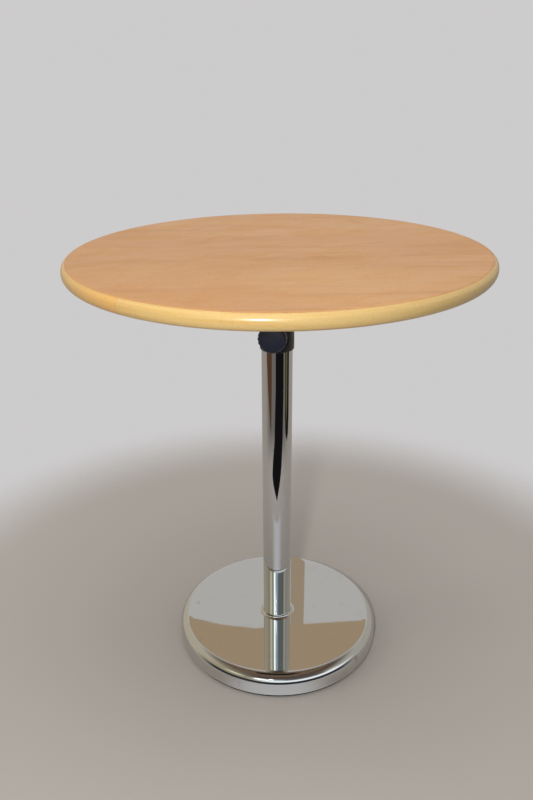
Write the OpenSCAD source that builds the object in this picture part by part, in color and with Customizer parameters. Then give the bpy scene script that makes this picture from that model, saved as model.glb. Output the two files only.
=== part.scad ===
// Height-adjustable bistro table: round laminated top, telescopic chromed column with a
// side clamp knob, and a weighted round base. Millimetres, +Z up, floor at z = 0.
// The column's axis is the Z axis and the clamp knob points along -Y.
// The table is drawn at its lowest setting, with the hub resting just above the collar.
// Threads are plain cylinders at their nominal size.

/* [Table] */
// Height of the tabletop above the floor at the lowest setting
table_h = 730; // [600:5:950]

/* [Tabletop] */
// Diameter of the tabletop
top_d = 650; // [500:10:900]
// Thickness of the finished tabletop
top_t = 25; // [20:0.5:40]
// Radius of the edge towards the top face
edge_top_r = 11; // [2:0.5:12]
// Radius of the edge towards the underside
edge_low_r = 13; // [2:0.5:16]
// Thickness of the laminate on the top face
laminate_t = 1.2; // [0.6:0.1:2]
// Thickness of the backing laminate on the underside
backing_t = 0.8; // [0.5:0.1:1.5]
// Width of the solid wood lipping round the core
lipping_w = 18; // [14:1:40]

/* [Top fixing] */
// Side of the square top plate
plate_w = 240; // [160:5:320]
// Thickness of the top plate
plate_t = 5; // [3:0.5:8]
// Corner cut of the top plate
plate_corner = 18; // [6:1:30]
// Distance of the outer screws from the plate's edge
screw_inset = 16; // [12:1:30]
// Length of a screw from under its head
screw_len = 22; // [16:1:24]
// Diameter of a screw's shank
screw_d = 4.8; // [3.5:0.1:6]
// Diameter of a screw's head
screw_head_d = 9.5; // [8:0.5:12]
// Height of a screw's head
screw_head_h = 3; // [2:0.5:4]
// Wall of the hub that holds the inner tube
hub_wall = 4.95; // [2:0.05:8]
// Height of the hub under the top plate
hub_len = 63.4; // [40:0.2:90]
// Reach of a gusset from the hub
gusset_reach = 78; // [30:1:90]
// Depth of a gusset down the hub
gusset_drop = 40; // [20:1:55]
// Thickness of a gusset
gusset_t = 4; // [2:0.5:6]

/* [Column] */
// Outside diameter of the outer tube
outer_d = 50.8; // [45:0.1:62]
// Wall of the outer tube
outer_wall = 2; // [1.2:0.1:3]
// Wall of the guide bush between the two tubes
bush_wall = 2.3; // [1.5:0.1:5]
// Wall of the inner tube
inner_wall = 2; // [1.2:0.1:3]
// Length of the guide bush inside the outer tube
bush_len = 90; // [60:1:140]
// Thickness of the bush's flange on the outer tube's end
bush_flange_t = 3; // [2:0.5:5]
// Length of the ring that guides the inner tube's foot
slide_ring_len = 28; // [15:1:60]
// Thickness of the stop ring above the slide ring
stop_ring_t = 2; // [1.5:0.1:3]
// Depth of the stop ring's groove in the inner tube
groove_depth = 0.6; // [0.3:0.1:0.9]
// Thickness of the flange on the inner tube's end plug
end_flange_t = 4; // [2:0.5:8]
// Length of the end plug inside the inner tube
end_plug_len = 20; // [10:1:40]
// Space left below the end plug at the lowest setting
tail_gap = 98; // [10:1:200]

/* [Collar and knob] */
// Wall of the collar
collar_wall = 2.25; // [1.5:0.05:5]
// Height of the collar
collar_len = 63.5; // [45:0.5:80]
// Thickness of the collar's lip over the bush
collar_lip = 7; // [3:0.5:10]
// Height of the knob's axis above the collar's lower end
knob_up = 33; // [28:0.5:36]
// Wall of the boss round the clamp nut
boss_side_wall = 3; // [2:0.5:6]
// Wall of the boss in front of the clamp nut
boss_end_wall = 3.1; // [2:0.1:6]
// Gap between the outer tube and the clamp nut
nut_gap = 1.2; // [1:0.1:3]
// Diameter of the knob
knob_d = 45; // [35:1:60]
// Thickness of the knob's fluted rim
knob_t = 17; // [12:0.5:24]
// Number of flutes round the knob
knob_flutes = 20; // [8:1:28]
// Radius of a flute
flute_r = 2.4; // [1:0.1:4]
// Depth of a flute
flute_depth = 0.9; // [0.4:0.1:1.5]
// Diameter of the knob's hub
knob_hub_d = 24; // [18:1:30]
// Height of the knob's hub behind the rim
knob_hub_h = 5; // [2:0.5:10]
// Diameter of the clamp stud
stud_d = 10; // [8:1:12]
// Height of the clamp nut
nut_h = 8; // [6:0.5:10]
// Width of the clamp nut across its flats
nut_af = 17; // [13:0.5:19]
// Diameter of the pressure pad
pad_d = 12; // [11:0.5:14]
// How far the pad moves out as the knob is turned back one and a half turns
pad_travel = 2.25; // [1:0.25:3]

/* [Base] */
// Diameter of the base cover
base_d = 370; // [300:5:450]
// Height of the base cover's flat top
base_h = 42; // [36:1:70]
// Radius of the base cover's shoulder
shoulder_r = 18; // [4:1:20]
// Sheet thickness of the base cover
cover_t = 1.2; // [0.8:0.1:2]
// Radius of the curl at the cover's lower edge
curl_r = 3; // [2.2:0.1:5]
// Width of the hem that is turned in under the weight
hem_w = 6; // [3:0.5:10]
// Radius of the flare where the cover meets the column
flare_r = 6; // [3:0.5:12]
// Thickness of the weight's disc
weight_t = 11; // [10:1:24]
// Wall of the weight's middle boss round the column's socket
socket_wall = 18.4; // [10:0.2:40]
// Width of the weight's outer rib
rib_w = 10; // [5:1:20]
// Depth of the socket that the column stands in
socket_depth = 10; // [4:1:14]
// Diameter of the centre bolt
bolt_d = 12; // [10:1:16]
// Width of the centre bolt's head across its flats
bolt_af = 19; // [16:1:24]
// Height of the centre bolt's head
bolt_head_h = 7.5; // [6:0.5:8.5]
// Diameter of the plain washer
washer_d = 30; // [26:1:36]
// Thickness of the plain washer
washer_t = 2.5; // [1.5:0.5:3]
// Thickness of the spring washer
spring_washer_t = 2.5; // [1.5:0.5:3]
// Height of the plug in the outer tube's foot
foot_plug_h = 22; // [15:1:40]
// Height of the rubber ring's outer part
floor_ring_h = 5; // [3:0.5:10]
// Width of the rubber ring
floor_ring_w = 13; // [8:1:25]
// How far the rubber ring stands back from the cover
floor_ring_inset = 4; // [1:0.5:8]

/* [Fits] */
// Gap between sliding or turning cylinders, on the radius
running_gap = 0.05; // [0.02:0.01:0.1]
// Gap round fixed pieces that drop into place, on the radius
loose_gap = 0.2; // [0.1:0.05:0.3]
// Gap between moving faces, along the column
face_gap = 0.3; // [0.2:0.1:0.6]
// Gap between the hub and the collar at the lowest setting
rest_gap = 0.6; // [0.4:0.1:2]

/* [Hidden] */
$fn = 96;
eps = 0.5;

// Tabletop
top_r = top_d / 2;
under_z = table_h - top_t;
round_top = min(edge_top_r, 0.45 * top_t);
round_low = min(edge_low_r, 0.53 * top_t);
core_z0 = under_z + backing_t;
core_z1 = table_h - laminate_t;

// Top fixing
plate_z = under_z - plate_t;
hub_z = plate_z - hub_len;
screw_reach = plate_w / 2 - screw_inset;
screw_spots = [for (i = [-1:1], j = [-1:1]) if (i != 0 || j != 0) [i * screw_reach, j * screw_reach]];
pilot_r = screw_d / 2 + 0.1;
head_slot_w = 1.2;
head_slot_depth = 1.6;

// Base
base_r = base_d / 2;
hem_z = floor_ring_h;
weight_z = hem_z + cover_t;
cover_under = base_h - cover_t;
hem_in_r = base_r - curl_r - hem_w;
weight_r = base_r - cover_t - 1.5 * loose_gap;
socket_z = cover_under - socket_depth;
recess_h = bolt_head_h + spring_washer_t + washer_t + 0.5;
recess_z = weight_z + recess_h;
recess_r = washer_d / 2 + 2;
bolt_head_z = recess_z - washer_t - spring_washer_t;

// Column
outer_r = outer_d / 2;
outer_bore = outer_r - outer_wall;
inner_r = outer_bore - bush_wall - 2 * running_gap;
inner_bore = inner_r - inner_wall;
hub_bore = inner_r + running_gap;
hub_r = hub_bore + hub_wall;
foot_z = socket_z;
plug_top = foot_z + foot_plug_h;
collar_top = hub_z - rest_gap;
collar_z = collar_top - collar_len;
outer_top = collar_top - collar_lip - bush_flange_t;
bush_z = outer_top - bush_len;
bush_bore = inner_r + running_gap;
tail_z = plug_top + tail_gap;
inner_z = tail_z + end_flange_t;
slide_z = inner_z + face_gap;
stop_z = slide_z + slide_ring_len + face_gap;
stop_in_r = inner_r - groove_depth;
ring_out_r = outer_bore - 2 * loose_gap;

// Collar and knob
sleeve_r = outer_r + running_gap;
collar_r = sleeve_r + collar_wall;
knob_z = collar_z + knob_up;
hole_r = pad_d / 2 + loose_gap;
pad_face = inner_r + running_gap;
nut_y = outer_r + nut_gap;
pocket_end = nut_y + nut_h + 0.1;
pocket_r = (nut_af + loose_gap) / 2 / cos(30);
pad_back = nut_y - pad_travel - 0.1;
boss_r = pocket_r + boss_side_wall;
boss_end = pocket_end + boss_end_wall;
stud_r = stud_d / 2;
tip_r = 0.6 * stud_r;
tip_len = 1.9;
hub_start = boss_end + 1.2;
rim_start = hub_start + knob_hub_h;
rim_end = rim_start + knob_t;
stud_end = rim_end - 6;
knob_round = 4;

// A cylinder that points along -Y from the column's axis at the knob's height
module clamp_rod(from, to, r, sides = 96) {
    translate([0, -from, knob_z]) rotate([90, 0, 0]) cylinder(r = r, h = to - from, $fn = sides);
}

// A ring round the column's axis
module ring(r_in, r_out, z, h) {
    translate([0, 0, z]) difference() {
        cylinder(r = r_out, h = h);
        translate([0, 0, -eps]) cylinder(r = r_in, h = h + 2 * eps);
    }
}

// Rectangle from corner to corner in the profile plane
module slab(x0, x1, z0, z1) {
    translate([x0, z0]) square([x1 - x0, z1 - z0]);
}

// Half section of the whole tabletop with its rounded edge
module top_outline() {
    slab(0, top_r - round_top, under_z + round_low, table_h);
    slab(0, top_r - round_low, under_z, table_h - round_top);
    slab(0, top_r, under_z + round_low, table_h - round_top);
    translate([top_r - round_top, table_h - round_top]) circle(r = round_top);
    translate([top_r - round_low, under_z + round_low]) circle(r = round_low);
}

// The part of the tabletop between two radii and two heights
module top_slice(r0, r1, z0, z1) {
    rotate_extrude() intersection() {
        top_outline();
        slab(r0, r1, z0, z1);
    }
}

// Half section of the base cover's outside, or of its inside when inset by the sheet
module cover_outline(inset) {
    r = base_r - inset;
    shoulder = shoulder_r - inset;
    curl = curl_r - inset;
    low = hem_z + inset;
    high = base_h - inset;
    slab(0, r - shoulder, low + curl, high);
    slab(0, r, low + curl, high - shoulder);
    slab(0, r - curl, low, low + curl + eps);
    translate([r - shoulder, high - shoulder]) circle(r = shoulder);
    translate([r - curl, low + curl]) circle(r = curl);
}

module screw_holes(r, z, h) {
    for (spot = screw_spots) translate([spot[0], spot[1], z]) cylinder(r = r, h = h, $fn = 32);
}

module floor_ring() {
    ring_r = base_r - floor_ring_inset;
    color("#161616") rotate_extrude() {
        slab(ring_r - floor_ring_w, ring_r, 0, floor_ring_h);
        slab(ring_r - floor_ring_w, hem_in_r - loose_gap, floor_ring_h - eps, weight_z);
    }
}

module base_cover() {
    neck_r = outer_r + running_gap;
    flare_x = neck_r + cover_t + flare_r;
    color("#d8dadd") rotate_extrude() {
        difference() {
            cover_outline(0);
            cover_outline(cover_t);
            slab(-eps, hem_in_r, hem_z - eps, weight_z + eps);
            slab(-eps, flare_x, cover_under - eps, base_h + eps);
        }
        intersection() {
            translate([flare_x, base_h + flare_r]) difference() {
                circle(r = flare_r + cover_t);
                circle(r = flare_r);
            }
            slab(neck_r, flare_x, cover_under, base_h + flare_r);
        }
    }
}

module base_weight() {
    rib_out = weight_r - shoulder_r;
    color("#3b3d40") rotate_extrude() difference() {
        union() {
            polygon([
                [0, weight_z], [weight_r - curl_r, weight_z], [weight_r, weight_z + curl_r],
                [weight_r, weight_z + weight_t], [0, weight_z + weight_t]
            ]);
            slab(0, outer_r + loose_gap + socket_wall, weight_z + weight_t - eps, cover_under);
            slab(rib_out - rib_w, rib_out, weight_z + weight_t - eps, cover_under);
        }
        slab(-eps, outer_r + loose_gap, socket_z, cover_under + eps);
        slab(-eps, bolt_d / 2 + loose_gap, weight_z - eps, socket_z + eps);
        slab(-eps, recess_r, weight_z - eps, recess_z);
    }
}

module centre_bolt() {
    color("#8f9296") {
        translate([0, 0, bolt_head_z - bolt_head_h])
            cylinder(r = bolt_af / 2 / cos(30), h = bolt_head_h, $fn = 6);
        translate([0, 0, bolt_head_z - eps])
            cylinder(r = bolt_d / 2, h = plug_top - 4 - bolt_head_z + eps);
    }
}

module bolt_washer() {
    color("#a9acb0") ring(bolt_d / 2 + loose_gap, washer_d / 2, recess_z - washer_t, washer_t);
}

module spring_washer() {
    split = 1.6;
    color("#85888c") difference() {
        ring(bolt_d / 2 + loose_gap, bolt_af / 2 + 1, bolt_head_z, spring_washer_t);
        translate([0, -split / 2, bolt_head_z - eps])
            cube([washer_d, split, spring_washer_t + 2 * eps]);
    }
}

module foot_plug() {
    color("#6f7276") ring(bolt_d / 2 + running_gap, outer_bore - running_gap, foot_z, foot_plug_h);
}

module outer_tube() {
    color("#dfe1e4") difference() {
        ring(outer_bore, outer_r, foot_z, outer_top - foot_z);
        clamp_rod(inner_r, collar_r + eps, hole_r);
    }
}

module guide_bush() {
    color("#202124") difference() {
        union() {
            ring(bush_bore, outer_bore - running_gap, bush_z, outer_top - bush_z + eps);
            ring(bush_bore, outer_r, outer_top, bush_flange_t);
        }
        clamp_rod(inner_r - inner_wall, outer_r, hole_r);
    }
}

module collar() {
    lip_z = collar_top - collar_lip;
    soft = 1.2;
    color("#1b1b1d") difference() {
        union() {
            rotate_extrude() {
                slab(0, collar_r, collar_z + soft, collar_top - soft);
                slab(0, collar_r - soft, collar_z, collar_top);
                translate([collar_r - soft, collar_z + soft]) circle(r = soft, $fn = 48);
                translate([collar_r - soft, collar_top - soft]) circle(r = soft, $fn = 48);
            }
            clamp_rod(inner_r, boss_end, boss_r);
        }
        translate([0, 0, collar_z - eps]) cylinder(r = sleeve_r, h = lip_z - collar_z + eps);
        translate([0, 0, lip_z - eps]) cylinder(r = inner_r + 0.5, h = collar_lip + 2 * eps);
        clamp_rod(inner_r, pocket_end, pocket_r, 6);
        clamp_rod(inner_r, boss_end + eps, stud_r + loose_gap);
    }
}

module clamp_nut() {
    color("#b9a25a") difference() {
        clamp_rod(nut_y, nut_y + nut_h, nut_af / 2 / cos(30), 6);
        clamp_rod(nut_y - eps, nut_y + nut_h + eps, stud_r + running_gap);
    }
}

module clamp_pad() {
    color("#c9cbc4") difference() {
        clamp_rod(inner_bore, pad_back, pad_d / 2);
        translate([0, 0, knob_z - pad_d]) cylinder(r = pad_face, h = 2 * pad_d);
        clamp_rod(pad_back - tip_len, pad_back + eps, tip_r + running_gap);
    }
}

module knob_stud() {
    color("#a4a7ab") {
        clamp_rod(pad_back + running_gap, stud_end, stud_r);
        clamp_rod(pad_back - tip_len + running_gap, pad_back + 2 * eps, tip_r);
    }
}

module knob_head() {
    knob_r = knob_d / 2;
    flute_orbit = knob_r - flute_depth + flute_r;
    color("#1d1c21") difference() {
        translate([0, -hub_start, knob_z]) rotate([90, 0, 0]) rotate_extrude() {
            slab(0, knob_hub_d / 2, 0, knob_hub_h + eps);
            slab(0, knob_r, knob_hub_h, knob_hub_h + knob_t - knob_round);
            slab(0, knob_r - knob_round, knob_hub_h, knob_hub_h + knob_t);
            translate([knob_r - knob_round, knob_hub_h + knob_t - knob_round])
                circle(r = knob_round, $fn = 48);
        }
        for (i = [0:knob_flutes - 1])
            translate([0, 0, knob_z]) rotate([0, 360 * i / knob_flutes, 0])
                translate([flute_orbit, -rim_start + eps, 0]) rotate([90, 0, 0])
                    cylinder(r = flute_r, h = knob_t + 2 * eps, $fn = 24);
        clamp_rod(hub_start - eps, stud_end + 0.1, stud_r + 0.02);
    }
}

module slide_ring() {
    color("#26272a") ring(bush_bore, outer_bore - running_gap, slide_z, slide_ring_len);
}

module stop_ring() {
    color("#7b7e82") ring(stop_in_r + running_gap, ring_out_r, stop_z, stop_ring_t);
}

module end_plug() {
    color("#26272a") {
        translate([0, 0, tail_z]) cylinder(r = ring_out_r, h = end_flange_t);
        translate([0, 0, inner_z - eps])
            cylinder(r = inner_bore - running_gap, h = end_plug_len + eps);
    }
}

module inner_tube() {
    color("#c3c6ca") difference() {
        ring(inner_bore, inner_r, inner_z, under_z - face_gap - inner_z);
        ring(stop_in_r, inner_r + eps, stop_z - running_gap, stop_ring_t + 2 * running_gap);
    }
}

module hub_sleeve() {
    color("#232427") ring(hub_bore, hub_r, hub_z, hub_len);
}

module top_plate() {
    half = plate_w / 2;
    cut = half - plate_corner;
    corners = [
        [half, cut], [cut, half], [-cut, half], [-half, cut],
        [-half, -cut], [-cut, -half], [cut, -half], [half, -cut]
    ];
    color("#2a2b2e") difference() {
        translate([0, 0, plate_z]) linear_extrude(plate_t) polygon(corners);
        translate([0, 0, plate_z - eps]) cylinder(r = hub_bore, h = plate_t + 2 * eps);
        screw_holes(screw_d / 2 + loose_gap, plate_z - eps, plate_t + 2 * eps);
    }
}

module plate_gussets() {
    start = hub_r + running_gap;
    toe = 6;
    outline = [
        [start, plate_z], [start, plate_z - gusset_drop], [start + toe, plate_z - gusset_drop],
        [start + gusset_reach, plate_z - toe], [start + gusset_reach, plate_z]
    ];
    color("#232427") for (turn = [45:90:315])
        rotate([90, 0, turn]) translate([0, 0, -gusset_t / 2])
            linear_extrude(gusset_t) polygon(outline);
}

module plate_screws() {
    tip = 5;
    color("#b4b6b9") for (spot = screw_spots) translate([spot[0], spot[1], plate_z]) {
        difference() {
            translate([0, 0, -screw_head_h]) cylinder(d = screw_head_d, h = screw_head_h);
            for (turn = [0, 90]) rotate([0, 0, turn])
                translate([-screw_head_d / 4, -head_slot_w / 2, -screw_head_h - eps])
                    cube([screw_head_d / 2, head_slot_w, head_slot_depth + eps]);
        }
        translate([0, 0, -eps]) cylinder(d = screw_d, h = screw_len - tip + eps, $fn = 32);
        translate([0, 0, screw_len - tip])
            cylinder(d1 = screw_d, d2 = 1, h = tip, $fn = 32);
    }
}

module backing_laminate() {
    color("#cbb79b") difference() {
        top_slice(0, top_r, under_z, core_z0);
        screw_holes(pilot_r, under_z - eps, backing_t + 2 * eps);
    }
}

module top_core() {
    color("#b08e63") difference() {
        top_slice(0, top_r - lipping_w, core_z0, core_z1);
        screw_holes(pilot_r, core_z0 - eps, screw_len - plate_t - backing_t + 2 * eps);
    }
}

module edge_lipping() {
    color("#e6c27f") top_slice(top_r - lipping_w, top_r, core_z0, core_z1);
}

module top_laminate() {
    color("#cd9a70") top_slice(0, top_r, core_z1, table_h);
}

floor_ring();
base_cover();
base_weight();
centre_bolt();
bolt_washer();
spring_washer();
foot_plug();
outer_tube();
guide_bush();
collar();
clamp_nut();
clamp_pad();
knob_stud();
knob_head();
slide_ring();
stop_ring();
end_plug();
inner_tube();
hub_sleeve();
top_plate();
plate_gussets();
plate_screws();
backing_laminate();
top_core();
edge_lipping();
top_laminate();
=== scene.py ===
from math import cos, pi, radians, sin

import bmesh
import bpy
import numpy as np
from mathutils import Matrix, Vector


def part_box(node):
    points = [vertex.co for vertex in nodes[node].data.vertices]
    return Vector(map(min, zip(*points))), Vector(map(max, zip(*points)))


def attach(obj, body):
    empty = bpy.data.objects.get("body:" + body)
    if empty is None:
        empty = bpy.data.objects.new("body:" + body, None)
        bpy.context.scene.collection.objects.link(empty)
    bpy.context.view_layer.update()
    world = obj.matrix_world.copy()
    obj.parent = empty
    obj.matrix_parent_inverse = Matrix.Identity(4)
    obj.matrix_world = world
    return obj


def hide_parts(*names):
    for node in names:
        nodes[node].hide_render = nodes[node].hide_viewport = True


# Looks of the bistro table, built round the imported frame. Metres, +Z up, floor at z = 0.
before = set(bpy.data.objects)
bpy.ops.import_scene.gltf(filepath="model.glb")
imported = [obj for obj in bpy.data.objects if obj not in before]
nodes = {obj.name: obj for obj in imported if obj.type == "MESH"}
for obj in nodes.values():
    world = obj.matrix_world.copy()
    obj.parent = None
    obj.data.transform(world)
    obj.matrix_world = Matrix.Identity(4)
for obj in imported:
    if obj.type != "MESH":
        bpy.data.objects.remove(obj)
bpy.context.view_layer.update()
scene = bpy.context.scene
print("frame loaded with", len(nodes), "nodes")


def topOf(node):
    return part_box(node)[1].z


def footOf(node):
    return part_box(node)[0].z


def reachOf(node):
    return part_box(node)[1].x


def arc(x, z, r, fromDeg, toDeg, steps=10):
    # points on a circle round (x, z), from one angle to the other
    a = np.radians(np.linspace(fromDeg, toDeg, steps + 1))
    return np.column_stack((x + r * np.cos(a), z + r * np.sin(a)))


def line(*points):
    return np.array(points, float)


def run(a, b, steps):
    # evenly spaced points on the straight line from a to b
    t = np.linspace(0, 1, steps + 1)[:, None]
    return (1 - t) * np.array(a, float) + t * np.array(b, float)


def section(*parts):
    # joins parts of a half section into one line and drops points that repeat
    joined = np.vstack(parts)
    keep = np.append(True, np.abs(np.diff(joined, axis=0)).sum(axis=1) > 1e-8)
    return joined[keep]


def gridPart(points, ring=False):
    # points[i, j]: row i, column j. Columns close on themselves, rows too when ring is set.
    # A row whose points all coincide becomes one shared point, a pole.
    rows, cols = points.shape[:2]
    index = np.arange(rows * cols).reshape(rows, cols)
    pole = np.ptp(points, axis=1).max(axis=1) < 1e-9
    index[pole] = index[pole, :1]
    follow = np.roll(index, -1, axis=0)
    last = rows if ring else rows - 1
    quads = np.stack((index, np.roll(index, -1, 1), np.roll(follow, -1, 1), follow), -1)[:last]
    # UV: turns round the piece across, metres along the first column up
    step = np.linalg.norm(np.roll(points[:, 0], -1, 0) - points[:, 0], axis=1)
    up = np.append(0, np.cumsum(step))
    u, v = np.meshgrid(np.arange(cols) / cols, up[:last])
    u1, v1 = np.meshgrid((np.arange(cols) + 1) / cols, up[1:last + 1])
    corners = [np.stack(corner, -1) for corner in ((u, v), (u1, v), (u1, v1), (u, v1))]
    uv = np.stack(corners, 2)
    quads, uv = quads.reshape(-1, 4), uv.reshape(-1, 4, 2)
    place = points.reshape(-1, 3)
    a, b, c, d = (place[quads[:, k]] for k in range(4))
    volume = (np.cross(a, b) * c).sum() + (np.cross(a, c) * d).sum()
    if volume < 0:  # the faces are turned to look outwards
        quads, uv = quads[:, ::-1], uv[:, ::-1]
    return place, quads, uv


def meshOf(name, parts, sharp=35):
    # one mesh from several grid parts; a quad with two equal corners becomes a triangle
    places, faces, spots, start = [], [], [], 0
    for place, quads, uv in parts:
        nextOne = np.roll(quads, -1, 1)
        twin = quads == nextOne
        whole = ~twin.any(axis=1)
        faces += (quads[whole] + start).tolist()
        spots.append(uv[whole].reshape(-1, 2))
        keep = ~twin[~whole]
        keep[keep.sum(axis=1) > 3] = [True, True, True, False]
        faces += (quads[~whole][keep].reshape(-1, 3) + start).tolist()
        spots.append(uv[~whole][keep].reshape(-1, 2))
        places.append(place)
        start += len(place)
    mesh = bpy.data.meshes.new(name)
    mesh.from_pydata(np.vstack(places).tolist(), [], faces)
    layer = mesh.uv_layers.new(name="turned")
    layer.data.foreach_set("uv", np.vstack(spots).ravel())
    loose = bmesh.new()
    loose.from_mesh(mesh)
    bmesh.ops.delete(loose, geom=[v for v in loose.verts if not v.link_faces], context="VERTS")
    loose.to_mesh(mesh)
    loose.free()
    mesh.shade_smooth()
    mesh.set_sharp_from_angle(angle=radians(sharp))
    return mesh


def held(profile, ring):
    # adds a point close to each end of every long stretch, so that its smooth shading stays true
    gap = 0.0005
    start = profile if ring else profile[:-1]
    end = np.roll(profile, -1, 0) if ring else profile[1:]
    length = np.linalg.norm(end - start, axis=1, keepdims=True)
    way = (end - start) / np.maximum(length, 1e-9)
    rows = np.stack((start, start + gap * way, end - gap * way), 1).reshape(-1, 2)
    long = length[:, 0] > 4 * gap
    rows = rows[np.column_stack((np.ones(len(start), bool), long, long)).ravel()]
    return rows if ring else np.vstack((rows, profile[-1:]))


def turned(profile, turns, ring=True):
    # a half section carried round the Z axis: x = r cos a, y = r sin a
    profile = held(profile, ring)
    a = np.arange(turns) / turns * 2 * pi
    r, z = profile[:, :1], profile[:, 1:]
    flat = np.ones_like(a)
    return gridPart(np.stack((r * np.cos(a), r * np.sin(a), z * flat), -1), ring)


def clampTurned(profile, turns, axisZ):
    # the same round the clamp's axis, which points along -Y at height axisZ
    profile = held(profile, False)
    a = np.arange(turns) / turns * 2 * pi
    r, out = profile[:, :1], profile[:, 1:]
    flat = np.ones_like(a)
    return gridPart(np.stack((r * np.cos(a), -out * flat, axisZ + r * np.sin(a)), -1))


def makePiece(name, mesh, material, body, slot, *replaced):
    piece = bpy.data.objects.new(name, mesh)
    scene.collection.objects.link(piece)
    mesh.materials.clear()
    mesh.materials.append(material)
    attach(piece, body)
    if replaced:
        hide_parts(*replaced)
    return piece


def carved(name, mesh, tools, sharp=35):
    # the mesh after each (tool mesh, operation) in turn
    for tool, operation in tools:
        work = bpy.data.objects.new("work", mesh)
        other = bpy.data.objects.new("tool", tool)
        for o in (work, other):
            scene.collection.objects.link(o)
        cut = work.modifiers.new("cut", "BOOLEAN")
        cut.object, cut.operation, cut.solver = other, operation, "EXACT"
        bpy.context.view_layer.update()
        made = work.evaluated_get(bpy.context.evaluated_depsgraph_get())
        mesh = bpy.data.meshes.new_from_object(made)
        bpy.data.objects.remove(work)
        bpy.data.objects.remove(other)
    mesh.name = name
    mesh.shade_smooth()
    mesh.set_sharp_from_angle(angle=radians(sharp))
    return mesh


def softened(name, node, width):
    # a copy of a CAD node's mesh with its doubles merged, ready for rounded edges
    mesh = nodes[node].data.copy()
    mesh.name = name
    work = bmesh.new()
    work.from_mesh(mesh)
    bmesh.ops.remove_doubles(work, verts=work.verts, dist=1e-6)
    bmesh.ops.dissolve_limit(work, angle_limit=radians(0.5), verts=work.verts, edges=work.edges)
    work.to_mesh(mesh)
    work.free()
    for spare in [a for a in mesh.attributes if a.name == "custom_normal"]:
        mesh.attributes.remove(spare)
    mesh.shade_smooth()
    mesh.set_sharp_from_angle(angle=radians(35))
    edge = {"width": width, "segments": 2, "limit_method": "ANGLE", "angle_limit": radians(40)}
    return mesh, edge


def roundEdges(piece, edge):
    bevel = piece.modifiers.new("edges", "BEVEL")
    for key, value in edge.items():
        setattr(bevel, key, value)
    bevel.harden_normals = True


def nodeOf(tree, kind, inputs=None, **settings):
    made = tree.nodes.new(kind)
    for key, value in settings.items():
        setattr(made, key, value)
    for key, value in (inputs or {}).items():
        if isinstance(value, bpy.types.NodeSocket):
            tree.links.new(value, made.inputs[key])
        else:
            made.inputs[key].default_value = value
    return made


def spot(tree, size, turn=0.0):
    # where the pattern is looked up: one unit is one feature of the given size in metres
    base = nodeOf(tree, "ShaderNodeTexCoord").outputs["Object"]
    if not isinstance(size, (tuple, list)):
        size = (size, size, size)
    settings = {"Vector": base, "Rotation": (0, 0, turn), "Scale": size}
    return nodeOf(tree, "ShaderNodeMapping", settings, vector_type="TEXTURE").outputs[0]


def noise(tree, place, detail=3.0, roughness=0.5, distortion=0.0):
    settings = {"Vector": place, "Scale": 1.0, "Detail": detail, "Roughness": roughness,
                "Distortion": distortion}
    return nodeOf(tree, "ShaderNodeTexNoise", settings).outputs["Fac"]


def ranged(tree, value, low, high, toLow=0.0, toHigh=1.0):
    settings = {"Value": value, "From Min": low, "From Max": high, "To Min": toLow, "To Max": toHigh}
    return nodeOf(tree, "ShaderNodeMapRange", settings, interpolation_type="SMOOTHSTEP").outputs[0]


def calc(tree, operation, a, b=0.0):
    return nodeOf(tree, "ShaderNodeMath", {0: a, 1: b}, operation=operation).outputs[0]


def mixed(tree, factor, first, second):
    settings = {0: factor, 6: first, 7: second}
    return nodeOf(tree, "ShaderNodeMix", settings, data_type="RGBA", blend_type="MIX").outputs[2]


def bumped(tree, height, distance, normal=None):
    settings = {"Height": height, "Distance": distance, "Strength": 1.0}
    if normal is not None:
        settings["Normal"] = normal
    return nodeOf(tree, "ShaderNodeBump", settings).outputs[0]


def newMaterial(name, **fixed):
    # fixed: constants on the shader's own sockets, spelt with _ for a space
    material = bpy.data.materials.new(name)
    material.use_nodes = True
    shader = material.node_tree.nodes["Principled BSDF"]
    for key, value in fixed.items():
        shader.inputs[key.replace("_", " ")].default_value = value
    return material, material.node_tree, shader


def wire(tree, shader, colour, roughness=None, normal=None):
    for key, value in {"Base Color": colour, "Roughness": roughness, "Normal": normal}.items():
        if value is not None:
            tree.links.new(value, shader.inputs[key])


def spots(tree, size, radius, share):
    # sparse round specks: cells of a Voronoi pattern, of which only some carry a speck
    place = spot(tree, size)
    cell = nodeOf(tree, "ShaderNodeTexVoronoi", {"Vector": place, "Scale": 1.0})
    chosen = nodeOf(tree, "ShaderNodeSeparateColor", {0: cell.outputs["Color"]}).outputs[0]
    near = ranged(tree, cell.outputs["Distance"], radius * 0.5, radius, 1.0, 0.0)
    return calc(tree, "MULTIPLY", near, ranged(tree, chosen, share, share * 0.9))


laminateLook = {
    "turn": radians(8), "light": (0.592, 0.320, 0.132, 1), "dark": (0.538, 0.275, 0.110, 1),
    "streak": (0.44, 0.200, 0.072, 1), "fleck": (0.29, 0.120, 0.042, 1),
}


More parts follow.
